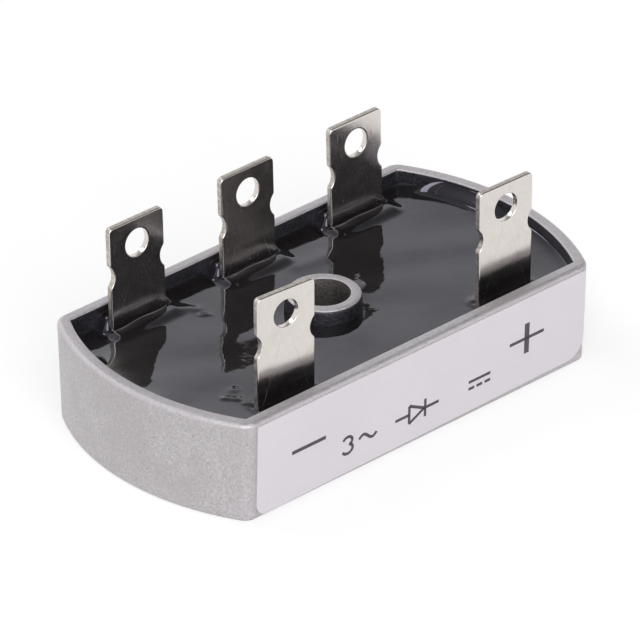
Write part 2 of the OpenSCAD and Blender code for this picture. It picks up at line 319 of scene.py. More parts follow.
# As (radius, height)
boss_section = np.concatenate([
    [[boss_foot, FLOOR]],
    spread((boss_foot, FLOOR), (BOSS_R, BOSS_TOP - BOSS_ROUND), BOSS_STEPS),
    arc(BOSS_R - BOSS_ROUND, BOSS_TOP - BOSS_ROUND, BOSS_ROUND, 0, 90, BOSS_ROUND_STEPS),
    arc(BORE_R + BORE_ROUND, BOSS_TOP - BORE_ROUND, BORE_ROUND, 90, 180, BORE_ROUND_STEPS),
    spread((BORE_R, BOSS_TOP - BORE_ROUND), (BORE_R, BORE_FOOT), BOSS_STEPS),
    [[BORE_R, BORE_FOOT], [BORE_R + BORE_FOOT, 0.0]],
])
print("points inside:", len(inner_section), "on the boss and in the bore:", len(boss_section))

# %% [markdown]
# ## Rings of the casting
#
# Each point of the section becomes a ring. On the walls it is the outline moved inwards. On the boss it
# is a circle, and on the floor the rings turn from one into the other. A circle with its own even points
# would twist the quads between them, so its points lie in the directions of the outline's points instead.

# %% The casting as one closed skin
LEAST_CORNER = 0.3


def circle_like(radius, guide):
    """Points on a circle, each in the direction of the matching point of a guide outline."""
    return guide / np.linalg.norm(guide, axis=1, keepdims=True) * radius


def rings_between(first_ring, second_ring, height):
    """Three rings on one level, at a quarter, half and three quarters of the way between two others."""
    return [raised(first_ring * (1 - t) + second_ring * t, height) for t in (0.25, 0.5, 0.75)]


wall_guide = outline(WALL + side_at(RESIN_TOP), INNER_CORNER)
rings = [raised(outline(-d, max(CORNER_R + d, LEAST_CORNER)), z) for d, z in outer_section]
rings += [raised(outline(d, INNER_CORNER), z) for d, z in inner_section]
rings += rings_between(rings[-1][:, :2], circle_like(boss_foot, wall_guide), FLOOR)
boss_start = len(rings)
rings += [raised(circle_like(r, wall_guide), z) for r, z in boss_section]
rings += rings_between(rings[-1][:, :2], rings[0][:, :2], 0.0)
casting_points = np.concatenate(rings)
casting = make_mesh("casting", casting_points, grid_faces(len(rings), columns, True, True))
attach(casting, "root")
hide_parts("housing")
print("casting:", len(rings), "rings of", columns, "points")

# %% Which rows of quads lie inside, and which in the bore
# The near-black inside starts below the mouth and ends two rows up the rounded edge of the boss. The bore
# starts at the last row of its own rounded edge and ends under the foot.
wall_start = len(outer_section) + MOUTH_STEPS - 1
boss_edge = boss_start + 1 + BOSS_STEPS
bore_edge = boss_edge + BOSS_ROUND_STEPS + BORE_ROUND_STEPS
INSIDE_ROWS = range(wall_start, boss_edge + 2)
BORE_ROWS = range(bore_edge - 2, boss_start + len(boss_section))
print("rows inside:", INSIDE_ROWS, "rows in the bore:", BORE_ROWS)

# %% [markdown]
# ## The blades
#
# A blade is a strip of plated sheet, stamped with a round hole near its top and a round notch in each
# edge. All five come from one tool, so one shape serves them all, and only their places differ. Each
# place is a frame of three directions: across the strip, up along it, and through its thickness, away
# from the front. The back row leans back a little, and the front two are each turned a little about their
# own length, as hand-set blades are. Turning each object instead would be shorter, but then its patterns
# would turn with it.

# %% Places of the five blades
BLADE_W = 9.0
BLADE_T = 0.8
PITCH_FROM_END = 15.45
PITCH = CASE_R - PITCH_FROM_END
FRONT_ROW_Y = -13.1
AC_LEAN = math.radians(1.8)
AC_PLACES = {"terminal_ac_left": -PITCH, "terminal_ac_middle": 0.0, "terminal_ac_right": PITCH}
DC_PLACES = {"terminal_negative": -PITCH, "terminal_positive": PITCH}
DC_TURNS = {"terminal_negative": math.radians(-4.5), "terminal_positive": math.radians(-1.5)}


def blade_frame(top, across, up, through):
    """A blade's frame: the middle of its top edge, and its three directions."""
    return {
        "top": np.array(top),
        "across": np.array(across),
        "up": np.array(up),
        "through": np.array(through),
    }


blades = {}
ac_up = [0.0, math.sin(AC_LEAN), math.cos(AC_LEAN)]
ac_through = [0.0, math.cos(AC_LEAN), -math.sin(AC_LEAN)]
for node, x in AC_PLACES.items():
    _, high = size_of(node)
    top = [x, high[1] - BLADE_T / 2 * ac_through[1], high[2] + BLADE_T / 2 * ac_through[2]]
    blades[node] = blade_frame(top, [1.0, 0.0, 0.0], ac_up, ac_through)
for node, x in DC_PLACES.items():
    _, high = size_of(node)
    turn = DC_TURNS[node]
    across = [math.cos(turn), math.sin(turn), 0.0]
    through = [-math.sin(turn), math.cos(turn), 0.0]
    blades[node] = blade_frame([x, FRONT_ROW_Y, high[2]], across, [0.0, 0.0, 1.0], through)
for node, blade in blades.items():
    print(node, np.round(blade["top"], 3))

# %% [markdown]
# ## Outline of a blade
#
# The stamping has crisp, small corners. A Boolean could cut the notches, but its edges would need
# cleaning up before they could be rounded. So the outline is a path of straight lines and arcs, walked at
# even steps, and the same loop can then be moved inwards for every level of the rounded edge.

# %% Points round a blade
HOLE_R = 1.9
HOLE_DOWN = 3.4
NOTCH_R = 2.05
NOTCH_DOWN = 6.85
NOTCH_DEPTH = 0.7
NOTCH_STEPS = 40
TOP_CORNER = 0.6
TOP_CORNER_STEPS = 12
LOOP_POINTS = 360
SOFTENING_ROUNDS = 2


def blade_path(bottom):
    """The way round a blade, anticlockwise from the middle of its lower end, as (across, up) from its top.

    A notch is part of a circle of radius NOTCH_R. Its centre lies outside the edge, so that the circle
    reaches NOTCH_DEPTH into the strip.
    """
    edge = BLADE_W / 2
    centre = edge + NOTCH_R - NOTCH_DEPTH
    opening = math.acos((NOTCH_R - NOTCH_DEPTH) / NOTCH_R)
    a = np.linspace(math.pi + opening, math.pi - opening, NOTCH_STEPS)
    notch = np.stack([centre + NOTCH_R * np.cos(a), -NOTCH_DOWN + NOTCH_R * np.sin(a)], -1)
    c = np.linspace(0, math.pi / 2, TOP_CORNER_STEPS)
    corner_x = edge - TOP_CORNER + TOP_CORNER * np.cos(c)
    corner = np.stack([corner_x, -TOP_CORNER + TOP_CORNER * np.sin(c)], -1)
    right = np.concatenate([[[0, bottom], [edge, bottom]], notch, corner, [[0, 0]]])
    left = (right[1:-1] * [-1, 1])[::-1]
    return np.concatenate([right, left, right[:1]])


def blade_outline(bottom):
    """LOOP_POINTS points at even steps along the path of a blade, softened a little at its corners.

    Softening moves each point to half of itself and a quarter of each neighbour.
    """
    path = blade_path(bottom)
    run = np.concatenate([[0], np.cumsum(np.linalg.norm(np.diff(path, axis=0), axis=1))])
    t = np.linspace(0, run[-1], LOOP_POINTS, endpoint=False)
    loop = np.stack([np.interp(t, run, path[:, 0]), np.interp(t, run, path[:, 1])], -1)
    for _ in range(SOFTENING_ROUNDS):
        loop = 0.25 * np.roll(loop, 1, 0) + 0.5 * loop + 0.25 * np.roll(loop, -1, 0)
    return loop


print("points round a blade:", LOOP_POINTS)

# %% [markdown]
# ## Section of a blade
#
# A punch pulls the sheet's edge round on the side that it enters and leaves it sharper on the other. A
# Bevel modifier would round both sides alike, so the rounding is part of the rings: out from the hole
# over the front face, round the front edge, straight through the sheet, round the back edge, and back to
# the hole.

# %% Rings of a blade
ROUND_FRONT = 0.15
ROUND_BACK = 0.08
ROUND_HOLE = 0.7 * ROUND_FRONT
FRONT_STEPS = 6
BACK_STEPS = 4
HOLE_STEPS = 4
FACE_SHARES = (0.0, 0.33, 0.67, 1.0)
HOLE_MARGIN = 0.2
EDGE_MARGIN = 0.3
STEEPER = 2.2


def offset_in(loop, distance):
    """The loop moved inwards by a distance, along its own normals."""
    along = np.roll(loop, -1, 0) - np.roll(loop, 1, 0)
    along /= np.linalg.norm(along, axis=1, keepdims=True)
    return loop - np.stack([along[:, 1], -along[:, 0]], -1) * distance


def hole_ring(loop, margin):
    """A circle round the hole, wider than it by a margin, with each point on the ray to a point of the loop.

    Rays that point down are made STEEPER, which leaves more of the circle to the blade's long sides.
    """
    centre = np.array([0.0, -HOLE_DOWN])
    ray = loop - centre
    ray[:, 1] *= np.where(ray[:, 1] < 0, STEEPER, 1.0)
    ray /= np.linalg.norm(ray, axis=1, keepdims=True)
    return centre + ray * (HOLE_R + margin)


def quarter_round(radius, steps):
    """Pairs (distance from the edge, depth below the face) from the face to the wall of a rounded edge."""
    a = np.linspace(0, math.pi / 2, steps)
    return [(radius * (1 - math.sin(v)), radius * (1 - math.cos(v))) for v in a]


def face_rings(loop, depth, shares):
    """Rings on one face at a depth, each a share of the way from the hole to the edge."""
    inner = hole_ring(loop, HOLE_MARGIN)
    outer = offset_in(loop, EDGE_MARGIN)
    return [raised(inner * (1 - t) + outer * t, depth) for t in shares]


def blade_rings(loop):
    """Rings (across, up, through) of a blade, from the hole over the front face and round to the back."""
    face = BLADE_T / 2
    hole_front = quarter_round(ROUND_HOLE, HOLE_STEPS)[::-1]
    edge_front = quarter_round(ROUND_FRONT, FRONT_STEPS)
    edge_back = quarter_round(ROUND_BACK, BACK_STEPS)[::-1]
    hole_back = quarter_round(ROUND_BACK, HOLE_STEPS)
    rings_of_blade = [raised(hole_ring(loop, g), -face + d) for g, d in hole_front]
    rings_of_blade += face_rings(loop, -face, FACE_SHARES)
    rings_of_blade += [raised(offset_in(loop, g), -face + d) for g, d in edge_front]
    rings_of_blade += [raised(offset_in(loop, g), face - d) for g, d in edge_back]
    rings_of_blade += face_rings(loop, face, FACE_SHARES[::-1])
    rings_of_blade += [raised(hole_ring(loop, g), face - d) for g, d in hole_back]
    return np.stack(rings_of_blade)


# The row straight through the sheet, and one row of the rounding on each side of it, are sheared metal.
sheet_row = HOLE_STEPS + len(FACE_SHARES) + FRONT_STEPS - 1
SHEARED_ROWS = range(sheet_row - 1, sheet_row + 2)
BLADE_ROWS = 2 * HOLE_STEPS + 2 * len(FACE_SHARES) + FRONT_STEPS + BACK_STEPS
print("rings of a blade:", BLADE_ROWS, "sheared rows:", SHEARED_ROWS)

# %% [markdown]
# ## The five blades
#
# Under the resin each blade goes on down and folds over onto the copper or the chips. Nobody sees that,
# so its lower half stays as the construction made it: a copy of the node's own solid, merged, cut off
# below the surface of the resin and closed with a flat face. The finer upper half stands on that face.

# %% Each blade on the lower half of its own solid
CUT_Z = 10.3
MERGE_GAP = 1e-7
CUT_GAP = 1e-8


def lower_half(node):
    """The node's solid below the height CUT_Z, closed, as flat faces."""
    lower = bmesh.new()
    lower.from_mesh(nodes[node].data)
    bmesh.ops.remove_doubles(lower, verts=lower.verts, dist=MERGE_GAP)
    everything = list(lower.verts) + list(lower.edges) + list(lower.faces)
    bmesh.ops.bisect_plane(lower, geom=everything, dist=CUT_GAP, plane_co=(0, 0, CUT_Z * MM),
                           plane_no=(0, 0, 1), clear_outer=True)
    bmesh.ops.holes_fill(lower, edges=[e for e in lower.edges if e.is_boundary], sides=0)
    for face in lower.faces:
        face.smooth = False
    return lower


def upper_half(name, blade):
    """The finer blade above CUT_Z: top + across * a + up * u + through * t for each point (a, u, t)."""
    bottom = (CUT_Z - blade["top"][2]) / blade["up"][2]
    axes = np.stack([blade["across"], blade["up"], blade["through"]])
    points = blade["top"] + blade_rings(blade_outline(bottom)) @ axes
    # Across, up and through make a left-handed set, so the quads are turned over to face outwards.
    quads = grid_faces(BLADE_ROWS, LOOP_POINTS, True, True)[:, ::-1]
    return make_mesh(name, points.reshape(-1, 3), quads)


terminals = {}
for node, blade in blades.items():
    piece = upper_half(node + "_blade", blade)
    both_halves = lower_half(node)
    both_halves.from_mesh(piece.data)
    both_halves.to_mesh(piece.data)
    both_halves.free()
    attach(piece, "root")
    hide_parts(node)
    terminals[node] = piece
    print(piece.name, len(piece.data.polygons), "faces")

# %% [markdown]
# ## Plan of the resin's surface
#
# The resin is poured in warm and sets as a glossy pool between the walls and the boss. A flat disc with a
# noise texture could stand for it, but its mirror shows every swell at the blades, so the swells are
# real. The surface is a table of points on straight lines from the wall to the boss. They lie closest
# together near both, where the surface bends most.

# %% Plan of the resin's surface
SEAT_GAP = 0.02
WALL_IN = WALL + side_at(RESIN_TOP)
UNEVEN_STEPS = (0, 0.05, 0.1, 0.17, 0.26, 0.37, 0.5, 0.64, 0.8, 0.98)
EVEN_FROM = 1.14
EVEN_TO = 7.4
EVEN_STEP = 0.155
MIDDLE_STEPS = 30
wall_ring = outline(WALL_IN - SEAT_GAP, INNER_CORNER)
boss_r = BOSS_R + (BOSS_TOP - RESIN_TOP) * DRAFT
boss_ring = circle_like(boss_r - SEAT_GAP, wall_ring)
# Distances from the wall, with steps that widen and then stay even, and distances from the boss
near_wall = np.concatenate([UNEVEN_STEPS, np.arange(EVEN_FROM, EVEN_TO, EVEN_STEP)])
near_boss = np.array([1.6, 1.3, 1.05, 0.85, 0.68, 0.53, 0.4, 0.29, 0.2, 0.12, 0.06, 0.0])
span = np.linalg.norm(wall_ring - boss_ring, axis=1)
first = near_wall[:, None] / span
last = 1 - near_boss[:, None] / span
middle_t = np.linspace(0, 1, MIDDLE_STEPS + 2)[1:-1, None]
middle = first[-1] * (1 - middle_t) + last[0] * middle_t
share = np.concatenate([first, middle, last])[..., None]
plan = wall_ring * (1 - share) + boss_ring * share
print("resin surface:", plan.shape)

# %% [markdown]
# ## Swells and dips
#
# Liquid resin is drawn up where it wets a wall and sinks where it shrinks as it sets. Sculpting that by
# hand would do, but it could not be measured or changed again. Here each swell has a simple formula with
# a height and a reach, and they are added up. The next cells define the few shapes that the sum needs.

# %% Shapes that the surface is added up from


def fade(t):
    """1 below 0, 0 above 1, and a smooth step between them: 1 - (3 t^2 - 2 t^3)."""
    t = np.clip(t, 0, 1)
    return 1 - t * t * (3 - 2 * t)


def band(value, centre, half_width, soft):
    """1 within half_width of the centre, fading to 0 over a soft width beyond it."""
    return fade((np.abs(value - centre) - half_width) / soft)


def swell(distance, height, reach):
    """height * exp(-distance / reach): a climb that dies away, or a dip where the height is below zero."""
    return height * np.exp(-distance / reach)


def ridge(x, y, start, end, width, height):
    """A rounded ridge along a line between two points: height * exp(-(distance / width)^2)."""
    start = np.array(start)
    along = np.array(end) - start
    t = np.clip(((x - start[0]) * along[0] + (y - start[1]) * along[1]) / (along @ along), 0, 1)
    gap = np.hypot(x - start[0] - t * along[0], y - start[1] - t * along[1])
    return height * np.exp(-(gap / width) ** 2)


print("a swell of 1 mm, at 0, 1 and 2 times its reach:", np.round(swell(np.arange(3), 1.0, 1.0), 3))

# %% Swells at the walls and the boss
# Each as (height, reach): climbs at the flats and the ends, and dips at the back, in the back left corner
# and round the boss
FLAT_CLIMB = (0.35, 0.6)
END_CLIMB = (0.35, 0.5)
END_SLOPE = (0.30, 4.2)
LEFT_SLOPE = (0.7, 3.5)
BACK_DIP = (-0.25, 3.5)
CORNER_DIP = (-0.85, 4.5)
BOSS_DIP = (-0.12, 1.5)
CORNER_X = -26.0
CORNER_Y = 16.0
SHELF_HEIGHT = 1.2
SHELF_WIDTH = 1.8
# Each as (middle, half width, soft edge) along an end wall
SHELF_STRETCH = (7.0, 3.0, 4.5)
LEFT_STRETCH = (2.0, 4.0, 5.0)


def swell_at_walls(x, y):
    """RESIN_TOP and the sum of the climbs and dips above, each from the distance to what causes it.

    The right end also has a shelf, SHELF_HEIGHT * fade(distance / SHELF_WIDTH) on its stretch of the wall,
    and the slope at the left end is kept to a stretch too.
    """
    flat_gap = np.maximum(HALF_W - WALL_IN - np.abs(y), 0)
    back_gap = np.maximum(HALF_W - WALL_IN - y, 0)
    end_gap = np.maximum(CASE_R - WALL_IN - np.hypot(x, y), 0)
    boss_gap = np.maximum(np.hypot(x, y) - boss_r, 0)
    corner_gap = np.hypot(x - CORNER_X, y - CORNER_Y)
    z = RESIN_TOP + swell(flat_gap, *FLAT_CLIMB) + swell(end_gap, *END_CLIMB)
    z += swell(end_gap, *END_SLOPE)
    z += SHELF_HEIGHT * fade(end_gap / SHELF_WIDTH) * band(y, *SHELF_STRETCH) * (x > 0)
    z += swell(back_gap, *BACK_DIP)
    z += swell(end_gap, *LEFT_SLOPE) * band(y, *LEFT_STRETCH) * (x < 0)
    z += swell(corner_gap, *CORNER_DIP)
    z += swell(boss_gap, *BOSS_DIP)
    return z


shelf_y = SHELF_STRETCH[0]
shelf_x = math.sqrt((CASE_R - WALL_IN) ** 2 - shelf_y ** 2)
print("height of the shelf at the right end:", round(float(swell_at_walls(shelf_x, shelf_y)), 2))

# %% Swells at the blades
MOUND_FLANK = 2.0
CROWN_SHARE = 0.12
CROWN_REACH = 1.4
DIP_SHARE = 0.75
DIP_REACH = 0.3
CLIMB_ASIDE = 1.7
CLIMB_BEFORE = 1.0
CLIMB_INSET = 0.2
CLIMB_LEAD = 0.1


def foot_of(blade):
    """The point where the middle of a blade passes the level RESIN_TOP."""
    return blade["top"] + blade["up"] * (RESIN_TOP - blade["top"][2]) / blade["up"][2]


def mound(x, y, blade, centre, half_u, half_v, height):
    """The low mound round the foot of a blade, with a dip where it meets the metal.

    Its top is a box of half sizes half_u and half_v in the blade's own directions, moved by centre through
    it, and its flank fades to nothing over MOUND_FLANK. A slow cosine along the blade makes its crown
    uneven. The dip is height * DIP_SHARE * exp(-distance / DIP_REACH).
    """
    foot = foot_of(blade)
    u = (x - foot[0]) * blade["across"][0] + (y - foot[1]) * blade["across"][1]
    v = (x - foot[0]) * blade["through"][0] + (y - foot[1]) * blade["through"][1]
    edge = np.hypot(np.maximum(np.abs(u) - half_u, 0), np.maximum(np.abs(v - centre) - half_v, 0))
    near = np.hypot(np.maximum(np.abs(u) - BLADE_W / 2, 0), np.maximum(np.abs(v) - BLADE_T / 2, 0))
    crown = 1 + CROWN_SHARE * np.cos(1.1 * u + foot[0]) * np.exp(-(near / CROWN_REACH) ** 2)
    return height * fade(edge / MOUND_FLANK) * crown - swell(near, DIP_SHARE * height, DIP_REACH)


def climb(x, y, blade, height):
    """The resin drawn up between a blade and the wall behind it.

    It has its full height behind the blade. From just inside the blade's edges it fades to nothing over
    CLIMB_ASIDE, and from just behind its back over CLIMB_BEFORE towards the front.
    """
    foot = foot_of(blade)
    aside = np.abs(x - foot[0]) - BLADE_W / 2 + CLIMB_INSET
    before = foot[1] + BLADE_T / 2 + CLIMB_LEAD - y
    return height * fade(aside / CLIMB_ASIDE) * fade(before / CLIMB_BEFORE)


print("foot of the middle blade:", np.round(foot_of(blades["terminal_ac_middle"]), 2))

# %% Height of the whole surface
SLOW_WAVE = 0.065
SMALL_WAVE = 0.012
AC_MOUND = {"centre": -1.0, "half_u": BLADE_W / 2 - 0.2, "half_v": 1.0, "height": 0.45}
AC_CLIMB = 1.5
DC_MOUND = {"centre": 0.2, "half_u": BLADE_W / 2 - 0.7, "half_v": 0.2, "height": 0.32}
# Two strings and five small wrinkles where the resin skinned over, as (start, end, width, height)
STRINGS = [((-12.9, 11.6), (-12.2, 10.6), 0.8, 0.12), ((4.6, 9.6), (8.4, 9.0), 1.5, 0.12)]
WRINKLES = [((x, y), (x + 0.3, y - 0.4), 0.42, 0.14)
            for x, y in ((-12.5, 8.9), (-24.5, -8.2), (-23.6, -9.3), (-23.3, -10.9), (-22.4, -7.4))]


def resin_height(x, y):
    """Height of the surface over points of the plan: walls, then blades, slow waves, and small ridges.

    The slow wave is SLOW_WAVE * sin(0.38 x + 0.9 sin(0.29 y)) * sin(0.41 y + 0.7), and the small one is
    SMALL_WAVE * sin(1.05 x - 0.8 y + 1.1).
    """
    z = swell_at_walls(x, y)
    for node in AC_PLACES:
        z += mound(x, y, blades[node], **AC_MOUND)
        z += climb(x, y, blades[node], AC_CLIMB)
    for node in DC_PLACES:
        z += mound(x, y, blades[node], **DC_MOUND)
    z += SLOW_WAVE * np.sin(0.38 * x + 0.9 * np.sin(0.29 * y)) * np.sin(0.41 * y + 0.7)
    z += SMALL_WAVE * np.sin(1.05 * x - 0.8 * y + 1.1)
    for start, end, width, height in STRINGS + WRINKLES:
        z += ridge(x, y, start, end, width, height)
    return z


surface = np.concatenate([plan, resin_height(plan[..., 0], plan[..., 1])[..., None]], axis=-1)
print("resin heights:", round(float(surface[..., 2].min()), 2), round(float(surface[..., 2].max()), 2))

# %% [markdown]
# ## The resin
#
# A pool of resin is a solid, not a sheet, so the surface is closed by an underside that lies on the floor
# of the case. Rows of the table run on down the wall and back to the boss, which closes the mesh without
# a seam.

# %% The resin as one closed piece
FLOOR_LIFT = 0.01
floor_ring = outline(WALL + side_at(FLOOR) - SEAT_GAP, INNER_CORNER)
boss_low = circle_like(boss_foot - SEAT_GAP, wall_ring)
under = [raised(floor_ring * t + boss_low * (1 - t), FLOOR + FLOOR_LIFT) for t in (0.0, 0.33, 0.67, 1.0)]
resin_rows = np.concatenate([surface, np.stack(under)])
resin_quads = grid_faces(len(resin_rows), columns, True, True)
resin = make_mesh("casting_resin", resin_rows.reshape(-1, 3), resin_quads)
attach(resin, "root")
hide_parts("potting_resin")
print("resin:", len(resin.data.polygons), "faces")

# %% [markdown]
# ## The printed signs
#
# The label carries the two polarity signs under the direct-current blades. Between them stand three plain
# symbols: three-phase alternating current, a diode, and direct current. They could be a painted mask in
# the label's material, but thin edges stay sharper as geometry. So each stroke is a thin closed ribbon of
# ink that lies on the drafted face of the label.

# %% Strokes of ink
FILM = 0.12
INK = 0.016
INK_SUNK = 0.01


def label_face(z):
    """The y of the label's outer face at a height: the case's side, and the film on it."""
    return -(HALF_W - side_at(z)) - FILM


def stroke(path, width):
    """A ribbon of a width along a path of (x, z) points, as a closed band of ink: its points and quads.

    Each point of the path gives four: half a width to its left and right, just under the face of the label
    and INK above it.
    """
    path = np.asarray(path, float)
    along = np.gradient(path, axis=0)
    along /= np.linalg.norm(along, axis=1, keepdims=True)
    aside = np.stack([-along[:, 1], along[:, 0]], -1) * width / 2
    band_points = []
    for side, lift in ((1, INK_SUNK), (1, -INK), (-1, -INK), (-1, INK_SUNK)):
        x, z = (path + side * aside).T
        band_points.append(np.stack([x, label_face(z) + lift, z], -1))
    last_ring = 4 * (len(path) - 1) + np.arange(4)
    quads = np.concatenate([grid_faces(len(path), 4, False, True), [[3, 2, 1, 0]], [last_ring]])
    return np.stack(band_points, axis=1).reshape(-1, 3), quads


def curve(x, z, radius_x, radius_z, start, end, steps=20):
    """Points on part of an ellipse, in degrees."""
    a = np.radians(np.linspace(start, end, steps))
    return np.stack([x + radius_x * np.cos(a), z + radius_z * np.sin(a)], -1)


print("face of the label, low and high:", np.round([label_face(1.0), label_face(13.0)], 3))

# %% The signs as one piece
SIGN_LOW = 3.25
SIGN_HIGH = 5.85
SIGN_MID = (SIGN_LOW + SIGN_HIGH) / 2
PEN = 0.42
MINUS_PEN = 0.52
PLUS_PEN = 0.46
PLUS_UPRIGHT_PEN = 0.85
WAVE_START = -10.6
WAVE_LENGTH = 3.0
WAVE_HEIGHT = 0.45
DC_GAP = 0.5
three_top = curve(-12.55, 5.12, 0.78, 0.62, 160, -70)
three_bottom = curve(-12.55, 3.98, 0.86, 0.68, 70, -160)
three = np.concatenate([three_top, three_bottom])
wave_x = np.linspace(WAVE_START, WAVE_START + WAVE_LENGTH, 40)
wave_z = SIGN_MID + WAVE_HEIGHT * np.sin((wave_x - WAVE_START) / WAVE_LENGTH * 2 * np.pi)
minus = [([[-22.0, 7.31], [-16.3, 7.31]], MINUS_PEN)]
plus = [([[15.4, 7.57], [21.4, 7.57]], PLUS_PEN), ([[18.4, 5.35], [18.4, 9.75]], PLUS_UPRIGHT_PEN)]
three_phase = [(three, PEN), (np.stack([wave_x, wave_z], -1), PEN)]
diode = [
    ([[-4.4, SIGN_MID], [-2.0, SIGN_MID]], PEN),
    ([[-2.0, SIGN_LOW], [-2.0, SIGN_MID], [-2.0, SIGN_HIGH]], PEN),
    ([[-2.0, SIGN_HIGH], [0.6, SIGN_MID]], PEN),
    ([[-2.0, SIGN_LOW], [0.6, SIGN_MID]], PEN),
    ([[0.75, SIGN_LOW], [0.75, SIGN_HIGH]], PEN),
    ([[0.75, SIGN_MID], [3.1, SIGN_MID]], PEN),
]
direct = [([[8.3, SIGN_MID + DC_GAP], [12.1, SIGN_MID + DC_GAP]], PEN)]
direct += [([[x, SIGN_MID - DC_GAP], [x + 1.0, SIGN_MID - DC_GAP]], PEN) for x in (8.3, 9.7, 11.1)]
strokes = [stroke(path, width) for path, width in minus + plus + three_phase + diode + direct]
starts = np.cumsum([0] + [len(points) for points, _ in strokes])[:-1]
sign_points = np.concatenate([points for points, _ in strokes])
sign_faces = np.concatenate([quads + start for (_, quads), start in zip(strokes, starts)])
signs = make_mesh("printed_signs", sign_points, sign_faces, smooth=False)
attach(signs, "root")
print("strokes:", len(strokes))

# %% [markdown]
# ## Helpers for node trees
#
# A material could be wired up by hand in the shader editor. Written as code, it can be read, compared and
# used again. A few short helpers keep each material down to the lines that say something about the
# finish.

# %% Nodes and links


def add(tree, kind, **settings):
    """A new node. A setting is an input of the node, with _ for a space, or one of its properties."""
    node = tree.nodes.new(kind)
    for key, value in settings.items():
        socket = key.replace("_", " ")
        if socket in node.inputs:
            node.inputs[socket].default_value = value
        else:
            setattr(node, key, value)
    return node


def wire(tree, source, target, output=0, socket=0):
    """A link from a node's output to another node's input, each by name or number."""
    tree.links.new(source.outputs[output], target.inputs[socket])


def combine(tree, operation, first, second):
    """A math node of two terms. A term is a (node, output) pair or a number."""
    node = add(tree, "ShaderNodeMath", operation=operation)
    for index, term in enumerate((first, second)):
        if isinstance(term, tuple):
            wire(tree, term[0], node, term[1], index)
        else:
            node.inputs[index].default_value = term
    return node


def new_group(name, inputs, outputs):
    """An empty node group. Inputs are {name: value}, and outputs are {name: socket kind}."""
    tree = bpy.data.node_groups.new(name, "ShaderNodeTree")
    for key, value in inputs.items():
        kind = "NodeSocketVector" if key == "Vector" else "NodeSocketFloat"
        socket = tree.interface.new_socket(key, in_out="INPUT", socket_type=kind)
        if key != "Vector":
            socket.default_value = value
    for key, kind in outputs.items():
        tree.interface.new_socket(key, in_out="OUTPUT", socket_type=kind)
    return tree, tree.nodes.new("NodeGroupInput"), tree.nodes.new("NodeGroupOutput")


print("node groups so far:", len(bpy.data.node_groups))

# %% [markdown]
# ## Shared textures
#
# Sand blasting, wiping, dust and printing all leave marks of a few kinds: soft clouds, fine grain and
# scattered specks. Each material could have its own textures, but then the scales would drift apart. So
# three groups are built once: the space in millimetres on the object itself, mottling, and specks. They
# give out masks only, and each material makes its own colours, roughness and bumps of them.

# %% Group: space in millimetres
PER_METRE = 1000.0
space, _, space_out = new_group("millimetre_space", {}, {"Vector": "NodeSocketVector"})
where = add(space, "ShaderNodeTexCoord")
scale_up = add(space, "ShaderNodeVectorMath", operation="SCALE", Scale=PER_METRE)
wire(space, where, scale_up, "Object")
wire(space, scale_up, space_out)
print("group:", space.name, len(space.nodes), "nodes")

# %% Group: mottling, a cloud whose middle range is stretched to a mask from 0 to 1
mottle, mottle_in, mottle_out = new_group(
    "mottling",
    {"Vector": None, "Scale": 1.0, "Detail": 3.0, "Low": 0.3, "High": 0.7},
    {"Mask": "NodeSocketFloat"},
)
cloud = add(mottle, "ShaderNodeTexNoise", Roughness=0.6)
for key in ("Vector", "Scale", "Detail"):
    wire(mottle, mottle_in, cloud, key, key)
stretch = add(mottle, "ShaderNodeMapRange", interpolation_type="SMOOTHSTEP")
wire(mottle, cloud, stretch, "Fac", "Value")
wire(mottle, mottle_in, stretch, "Low", "From Min")
wire(mottle, mottle_in, stretch, "High", "From Max")
wire(mottle, stretch, mottle_out)
print("group:", mottle.name, len(mottle.nodes), "nodes")

# %% Group: specks, soft dots in a chosen share of the cells of a Voronoi texture
specks, specks_in, specks_out = new_group(
    "specks",
    {"Vector": None, "Scale": 1.0, "Size": 0.2, "Share": 0.5},
    {"Mask": "NodeSocketFloat"},
)
cells = add(specks, "ShaderNodeTexVoronoi", feature="F1")
wire(specks, specks_in, cells, "Vector", "Vector")
wire(specks, specks_in, cells, "Scale", "Scale")
near = add(specks, "ShaderNodeMapRange", interpolation_type="SMOOTHSTEP", To_Min=1.0, To_Max=0.0)
wire(specks, cells, near, "Distance", "Value")
wire(specks, specks_in, near, "Size", "From Max")
pick = add(specks, "ShaderNodeSeparateColor")
wire(specks, cells, pick, "Color")
chosen = combine(specks, "LESS_THAN", (pick, 0), (specks_in, "Share"))
both = combine(specks, "MULTIPLY", (near, 0), (chosen, 0))
wire(specks, both, specks_out)
print("group:", specks.name, len(specks.nodes), "nodes")

# %% [markdown]
# ## Building blocks of a material
#
# Each finish below is a Principled shader whose colour, roughness and bump vary with a few masks. These
# blocks start such a material, place a group in it, blend two colours or values by a mask, add masks up
# to a height, and turn that height into bumps.

# %% Start a material and place a group in it
BASE_COLOUR = "Base Color"
ROUGHNESS = "Roughness"


def start_material(name, **settings):
    """A material with a Principled shader, and the node that gives the space in millimetres."""
    material = bpy.data.materials.new(name)
    material.use_nodes = True
    tree = material.node_tree
    shader = tree.nodes["Principled BSDF"]
    for key, value in settings.items():
        shader.inputs[key.replace("_", " ")].default_value = value
    mm = tree.nodes.new("ShaderNodeGroup")
    mm.node_tree = space
    return material, tree, shader, mm


def use(tree, group, mm, stretch_by=None, **settings):
    """A group fed with the space in millimetres, stretched along the axes where that is asked for."""
    node = tree.nodes.new("ShaderNodeGroup")
    node.node_tree = group
    source = mm
    if stretch_by:
        source = add(tree, "ShaderNodeVectorMath", operation="MULTIPLY")
        source.inputs[1].default_value = stretch_by
        wire(tree, mm, source)
    wire(tree, source, node, 0, "Vector")
    for key, value in settings.items():
        node.inputs[key].default_value = value
    return node


print("shader inputs used:", BASE_COLOUR, ROUGHNESS, "Normal")

